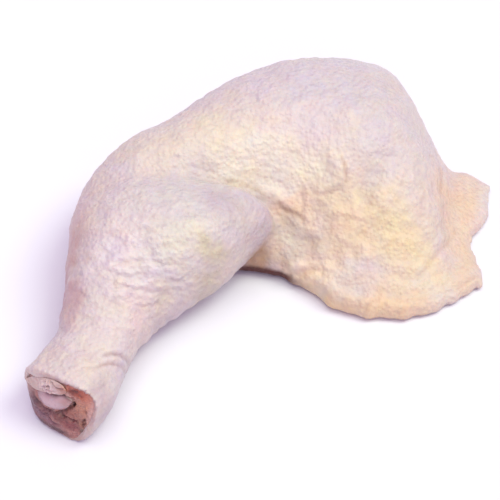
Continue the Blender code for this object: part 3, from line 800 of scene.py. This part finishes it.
# Colours on the cut face: place across, height; spread across, upwards; colour; strength.
FACE_COLOUR = (190, 134, 124)
FACE_PATCHES = (
    (-2.0, 21.5, 13.0, 3.8, (228, 192, 180), 0.9),
    (14.0, 20.0, 4.6, 5.5, (222, 160, 144), 0.9),
    (11.0, 16.8, 4.0, 3.6, (206, 146, 118), 0.85),
    (15.6, 15.5, 2.0, 6.0, (226, 184, 174), 0.8),
    (7.4, 13.6, 3.4, 2.6, (172, 108, 88), 0.85),
    (10.6, 22.0, 3.4, 2.2, (200, 116, 86), 0.9),
    (8.0, 23.6, 4.2, 2.0, (184, 88, 60), 0.95),
    (4.8, 25.6, 2.0, 1.4, (214, 132, 108), 0.8),
    (6.9, 22.9, 1.5, 1.1, (112, 34, 24), 0.95),
    (10.0, 22.3, 1.6, 0.8, (150, 68, 48), 0.8),
    (4.0, 9.0, 3.6, 2.0, (124, 66, 62), 0.9),
    (8.0, 7.0, 3.4, 2.2, (150, 74, 76), 0.9),
    (12.0, 10.4, 2.6, 2.4, (176, 122, 98), 0.85),
    (14.4, 12.6, 1.6, 2.2, (214, 168, 154), 0.7),
    (-14.6, 17.0, 3.0, 3.6, (208, 180, 168), 0.9),
    (-12.0, 12.8, 2.2, 2.6, (182, 150, 146), 0.85),
    (-9.4, 9.4, 2.4, 2.6, (116, 84, 94), 0.9),
    (-4.0, 8.0, 4.0, 1.8, (146, 104, 108), 0.85),
    (-12.0, 6.0, 3.4, 5.0, (126, 100, 110), 0.9),
    (-7.0, 1.2, 7.0, 1.8, (104, 80, 90), 0.9),
    (-7.0, 5.0, 4.0, 2.2, (154, 124, 136), 0.85),
    (-1.0, 4.6, 5.0, 2.0, (146, 108, 120), 0.85),
    (2.6, 2.0, 5.0, 1.4, (98, 68, 76), 0.9),
    # Painted shade: the hole beside the gristle is painted nearly black.
    (7.4, 17.0, 0.9, 0.7, (46, 14, 10), 0.97),
    # Dark red-brown below the gristle's lower right edge: flesh with painted shadow.
    (5.6, 14.8, 1.6, 1.2, (120, 60, 50), 0.85),
    (12.6, 16.7, 0.9, 0.7, (124, 56, 40), 0.9),
    (9.8, 10.6, 1.4, 0.8, (92, 40, 34), 0.9),
    (13.0, 11.8, 0.8, 1.3, (104, 50, 38), 0.9),
    (12.4, 6.6, 1.6, 1.4, (134, 112, 94), 0.85),
    # Dark red-brown below the gristle's lower edge: flesh with painted shadow.
    (3.9, 12.0, 1.6, 0.8, (112, 56, 50), 0.8),
)


def shank_plug():
    """Meat as one grid: from the middle of the cut face to the skin, then back inside the shank.

    The face is the collar's ring drawn to its middle, and laps over the skin's edge at the left and
    below. It bulges by the sum of its forms, folds and noise. Behind the skin's edge the sections
    of the drumstick, made smaller, carry it up into the calf.
    """
    turn = full_turn(FACE_SIDES)
    cover = ramp(turn, 2.95, 3.3) * (1 - ramp(turn, 4.5, 4.95))
    ring, middle, ahead = drumstick_surface(np.array([0.0]), turn)
    wall = skin_wall(turn)
    inset = (wall - 0.4) * (1 - cover) + 0.3 * cover
    ring = ring - unit_length(ring - middle) * inset[..., None]
    share = np.linspace(0, 1, FACE_ROWS)[:, None, None] ** 0.8
    centre = ring.mean(axis=1, keepdims=True)
    face = centre + (ring - centre) * share
    place = cut_place(face)[..., :2]
    bumps = 0.45 * noise(face, 3.2, 31) + 0.3 * noise(face, 1.5, 32) + 0.5 * noise(face, 6.0, 33)
    bumps = bumps + crease_relief(place.reshape(-1, 2), FACE_FOLDS).reshape(bumps.shape)
    forms = sum(height * oval(place, *spot) for *spot, height in FACE_FORMS)
    stand = 0.9 * (1 - share[..., 0] ** 3) + (forms + bumps) * (1 - share[..., 0] ** 8)
    face = face - ahead * (stand - 0.1 + 0.75 * cover * (1 - share[..., 0] ** 30))[..., None]
    places = np.linspace(0.2, SHANK_END, SHANK_ROWS)
    back, axis, _ = drumstick_surface(places, turn)
    reach = (0.93 - 0.35 * ramp(places, 0, 1.6) * (1 - 0.2 * places / SHANK_END))[:, None, None]
    back = axis + (back - axis) * reach
    return np.concatenate([face, back, rounded_end(back[-1], axis[-1], ahead[0] * SHANK_TIP, 8)])


MERGE_WITHIN = 0.000002  # metres


def new_piece(name, *grids):
    """Object at the origin with closed grids as its mesh, its poles merged."""
    mesh = mesh_from_grids(name, *(placed(grid) for grid in grids))
    shaped = bmesh.new()
    shaped.from_mesh(mesh)
    bmesh.ops.remove_doubles(shaped, verts=shaped.verts, dist=MERGE_WITHIN)
    bmesh.ops.recalc_face_normals(shaped, faces=shaped.faces)
    shaped.to_mesh(mesh)
    shaped.free()
    mesh.shade_smooth()
    return new_object(name, mesh)


shank_meat_cut = new_piece("shank_meat_cut", shank_plug())
spots = read_points(shank_meat_cut.data)
warp = noises(spots, 3.0, 41, 2) + 0.5 * noises(spots, 1.2, 43, 2)
spots = cut_place(spots)[:, :2]
# The folds of the cut face are painted with dark lines of shade.
meat_colour = with_lines(
    painted(spots + warp, FACE_COLOUR, FACE_PATCHES), spots,
    [(line, 0.8 * half_width, (84, 44, 42), 0.6) for line, half_width, _, _ in FACE_FOLDS])
make_flesh(shank_meat_cut.data, "cut_meat", "meat tone", meat_colour, cool=(0.78, 0.70, 0.74),
           warm=(1.2, 1.16, 1.1), pimples=1300, fibre=1800, blotches=800, bump=0.7, roughness=0.36,
           coat=0.3, soft=0.08)
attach(shank_meat_cut, "root")
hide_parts("shank_meat")

# --------------------------------------------------------------------
# Gristle on the end of the shank bone. The bone ends in a pale pink, smooth pad of cartilage that
# bulges out of the cut like a tongue. Behind it the shaft of the bone runs on inside the meat.

# Outline of the pad along its top and its bottom edge: place across the cut, height.
GRISTLE_TOP = ((-9.9, 14.2), (-7.8, 15.6), (-4.4, 16.9), (-0.8, 18.3), (3.0, 20.3), (7.6, 19.8))
GRISTLE_BOTTOM = ((-9.9, 14.2), (-8.5, 10.6), (-4.4, 9.3), (1.0, 10.7), (5.2, 14.7), (7.6, 19.8))
GRISTLE_STAND = 2.2  # how far the pad bulges out
# Shaft of the bone: x, y, z; half width; half height.
BONE_PATH = (
    (-70.6, -67.0, 15.8, 5.6, 4.2),
    (-66.3, -61.5, 15.0, 4.4, 3.8),
    (-61.5, -52.5, 14.8, 3.6, 3.6),
    (-57.5, -41.0, 15.8, 3.4, 3.4),
    (-53.0, -28.0, 18.0, 3.6, 3.6),
    (-49.5, -18.0, 19.5, 4.0, 4.0),
)


def on_face(place, stand):
    """Points of the drawing at places on the cut face, standing out from its leaning plane."""
    flat = cut_middle + place[..., :1] * cut_sideways
    flat = flat + cut_ahead * (CUT_LEAN * (place[..., 1:2] - CUT_TOP) - stand[..., None])
    return np.concatenate([flat, place[..., 1:2]], axis=-1)


def gristle_and_bone():
    """Pad and shaft as one grid: a dome over a crescent outline, then ovals along the bone's path.

    The outline runs along the top edge and back along the bottom. The dome's height falls from the
    middle to the outline as 1 - share^2.6.
    """
    sides = 60
    steps = np.linspace(0, 5, sides)
    top, bottom = smooth_rows(GRISTLE_TOP, steps), smooth_rows(GRISTLE_BOTTOM, steps[::-1])
    outline = np.concatenate([bottom[:-1], top[:-1]])[None]
    centre = outline.mean(axis=1, keepdims=True) + (0.3, 0.0)
    share = np.linspace(0, 1, 30)[:, None, None]
    place = centre + (outline - centre) * share
    stand = GRISTLE_STAND * (1 - share[..., 0] ** 2.6) - 0.4
    dome = on_face(place, stand)
    bumps = 0.25 * noise(dome, 3.0, 51) * (1 - share[..., 0] ** 4)
    dome = dome + CUT_OUTWARDS * bumps[..., None]
    path = smooth_rows(BONE_PATH, np.linspace(0, 5, 26))
    turn = np.arctan2(outline[..., 1] - centre[..., 1], outline[..., 0] - centre[..., 0])[..., None]
    from_axis = (np.cos(turn) * CUT_ACROSS * path[:, None, 3:4]
                 + np.sin(turn) * np.array((0.0, 0.0, 1.0)) * path[:, None, 4:5])
    return np.concatenate([dome, path[:, None, :3] + from_axis])


gristle_head = new_piece("gristle_head", gristle_and_bone())
spots = cut_place(read_points(gristle_head.data))[:, :2]
GRISTLE_COLOUR = (212, 178, 180)
GRISTLE_PATCHES = (
    # Painted highlight on the middle of the pad.
    (-1.0, 15.0, 5.0, 2.2, (226, 196, 198), 0.8),
    # Painted shade at the pad's rounded left end.
    (-8.8, 13.0, 2.4, 2.6, (176, 142, 146), 0.8),
    (5.6, 17.8, 2.2, 2.4, (200, 152, 144), 0.8),
    # Painted shade along the pad's lower edge.
    (-2.0, 9.8, 6.0, 1.4, (168, 130, 134), 0.7),
)
# Painted shade in the gap between the gristle and the tendon.
slit_shade = ((GRISTLE_TOP[2:], 0.7, (88, 44, 38), 0.9),)  # dark gap below the tendon
gristle_colour = with_lines(painted(spots, GRISTLE_COLOUR, GRISTLE_PATCHES), spots, slit_shade)
make_flesh(gristle_head.data, "gristle", "gristle tone", gristle_colour, cool=(0.95, 0.93, 0.96),
           warm=(1.03, 1.01, 0.98), pimples=900, fibre=1500, blotches=500, bump=0.12, roughness=0.3,
           coat=0.4, soft=0.3)
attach(gristle_head, "root")
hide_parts("shank_bone")

# --------------------------------------------------------------------
# Tendon and torn membrane above the gristle. A pink band of tendon lies along the top of the pad,
# and a thin whitish membrane is crumpled on it in small squiggles.

# Middle of the band: place across the cut, height; and its half width at each of these points.
BAND_COURSE = ((-14.5, 16.4), (-11.0, 17.3), (-7.3, 18.9), (-3.8, 20.6), (-0.4, 21.9), (2.4, 22.8),
               (4.7, 23.0))
BAND_HALF = (0.8, 2.8, 3.3, 3.4, 3.2, 2.4, 0.8)
BAND_THICKNESS = 0.65
# Ridges and grooves of the crumpled membrane: points across, up; half width; depth; lips.
BAND_FOLDS = (
    (((-7.6, 20.2), (-6.8, 18.8), (-5.6, 19.4), (-4.6, 18.4), (-3.0, 19.2), (-1.8, 18.9)),
     0.42, -1.0, 0.0),
    (((-4.6, 23.2), (-3.8, 22.0), (-2.6, 22.6), (-1.8, 21.2), (-0.5, 21.4)), 0.42, -1.0, 0.0),
    (((-6.6, 21.8), (-5.8, 20.6), (-4.4, 21.2), (-3.6, 20.2)), 0.38, -0.9, 0.0),
    (((-2.8, 20.6), (-1.4, 20.4), (-0.3, 19.8), (0.8, 20.6)), 0.38, -0.8, 0.0),
    (((-4.8, 22.2), (-4.0, 21.3), (-2.8, 21.5), (-2.2, 20.8)), 0.4, 1.2, 0.0),
    (((-6.0, 20.0), (-4.8, 19.8), (-3.9, 19.3)), 0.34, 1.0, 0.0),
    (((-2.6, 23.9), (-1.2, 23.3), (0.8, 23.0), (3.4, 23.9)), 0.34, 0.5, 0.2),
)


def tendon_band():
    """Band as one grid: an oval profile carried along its course over the face.

    It stands out by a flattened oval, thinner at its ends. Ridges, grooves and noise on the front
    make the crumpled membrane.
    """
    rows, sides = 170, 70
    steps = np.linspace(0, 6, rows)
    course = smooth_rows(BAND_COURSE, steps)
    half = smooth_rows([(value,) for value in BAND_HALF], steps)
    along = unit_length(np.gradient(course, axis=0))
    upwards = np.stack([-along[:, 1], along[:, 0]], axis=1)
    turn = full_turn(sides)
    place = course[:, None] + (upwards * half)[:, None] * np.cos(turn)[..., None]
    thick = BAND_THICKNESS * np.minimum(half / 2.4, 1)
    stand = 0.1 + thick * np.sign(np.sin(turn)) * np.abs(np.sin(turn)) ** 1.2
    front = np.clip(np.sin(turn), 0, 1) ** 0.5
    folds = crease_relief(place.reshape(-1, 2), BAND_FOLDS).reshape(stand.shape)
    rest = on_face(place, stand)
    crumpled = 1.1 * noise(rest, 1.3, 62) * bell(place[..., 0] + 3.6, 3.4)
    return on_face(place, stand + front * (folds + 0.25 * noise(rest, 2.0, 61) + crumpled))


tendon_folds = new_piece("tendon_folds", tendon_band())
spots = cut_place(read_points(tendon_folds.data))[:, :2]
BAND_COLOUR = (230, 202, 191)
BAND_PATCHES = (
    (-2.0, 21.0, 3.6, 1.6, (240, 212, 206), 0.8),
    (-11.5, 17.0, 3.5, 2.6, (216, 190, 176), 0.85),
    (4.6, 23.0, 3.2, 3.0, (196, 134, 116), 0.9),
    (-5.0, 20.4, 2.2, 1.6, (246, 226, 222), 0.7),
)
# Grooves of the crumpled membrane are painted with dark lines of shade; ridges with pale lines, the
# whitish membrane with painted highlight.
band_colour = with_lines(
    painted(spots, BAND_COLOUR, BAND_PATCHES), spots,
    [(line, half_width, (92, 50, 42) if depth > 0 else (244, 222, 224), 0.75)
     for line, half_width, depth, _ in BAND_FOLDS])
make_flesh(tendon_folds.data, "tendon", "tendon tone", band_colour, cool=(0.92, 0.88, 0.9),
           warm=(1.06, 1.04, 1.0), pimples=1100, fibre=1700, blotches=900, bump=0.3, roughness=0.33,
           coat=0.35, soft=0.2)
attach(tendon_folds, "root")
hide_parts("hock_tendon")

# --------------------------------------------------------------------
# Table, lights and camera. The leg lies on a plain white surface under one large soft light
# overhead and one high at the right, with a weak fill from the front. Soft lilac shadows fall to
# its left and a little in front of it.

TABLE_HALF = 3.0
TABLE_TOP = -0.0002  # a hair below the leg
corners = ((-1, -1), (1, -1), (1, 1), (-1, 1))
table_mesh = bpy.data.meshes.new("table")
table_mesh.from_pydata([(x * TABLE_HALF, y * TABLE_HALF, TABLE_TOP) for x, y in corners],
                       [], [(0, 1, 2, 3)])
table = new_object("table", table_mesh)
white = bpy.data.materials.new("white_table")
white.use_nodes = True
wire(white.node_tree, white.node_tree.nodes["Principled BSDF"], Base_Color=(0.82, 0.80, 0.87, 1.0),
     Roughness=0.8, Specular_IOR_Level=0.1)
table_mesh.materials.append(white)


def soft_light(name, direction, spread, strength, colour):
    """Even light from far away, from a direction, as soft as a lamp that fills this angle."""
    lamp = bpy.data.lights.new(name, "SUN")
    lamp.angle = np.radians(spread)
    lamp.energy = strength
    lamp.color = colour
    new_object(name, lamp).rotation_euler = Vector(direction).to_track_quat("Z", "Y").to_euler()


soft_light("overhead", (0.00, -0.05, 1.00), 50, 1.13, (0.97, 1.14, 0.87))
soft_light("side", (0.55, 0.08, 0.83), 30, 1.30, (0.97, 1.14, 0.87))
soft_light("front_fill", (-0.05, -0.80, 0.60), 70, 0.36, (0.97, 1.12, 0.88))
world = bpy.context.scene.world or bpy.data.worlds.new("room")
bpy.context.scene.world = world
world.use_nodes = True
wire(world.node_tree, world.node_tree.nodes["Background"],
     Color=(0.94, 0.65, 1.10, 1.0), Strength=0.60)

AIM_HEIGHT = 15.0  # the camera looks at the middle of the drawing, this high up
DISTANCE = 0.7375  # metres
ELEVATION = np.radians(50)
camera_data = bpy.data.cameras.new("camera")
camera_data.lens = 144
camera_data.sensor_width = 36
camera_data.clip_start = 0.01
camera = new_object("camera", camera_data)
aim = placed(np.array((0.0, 0.0, AIM_HEIGHT)))
camera.location = aim + DISTANCE * np.array((0, -np.cos(ELEVATION), np.sin(ELEVATION)))
camera.rotation_euler = (np.pi / 2 - ELEVATION, 0, 0)
bpy.context.scene.camera = camera
bpy.context.scene.view_settings.view_transform = "Standard"
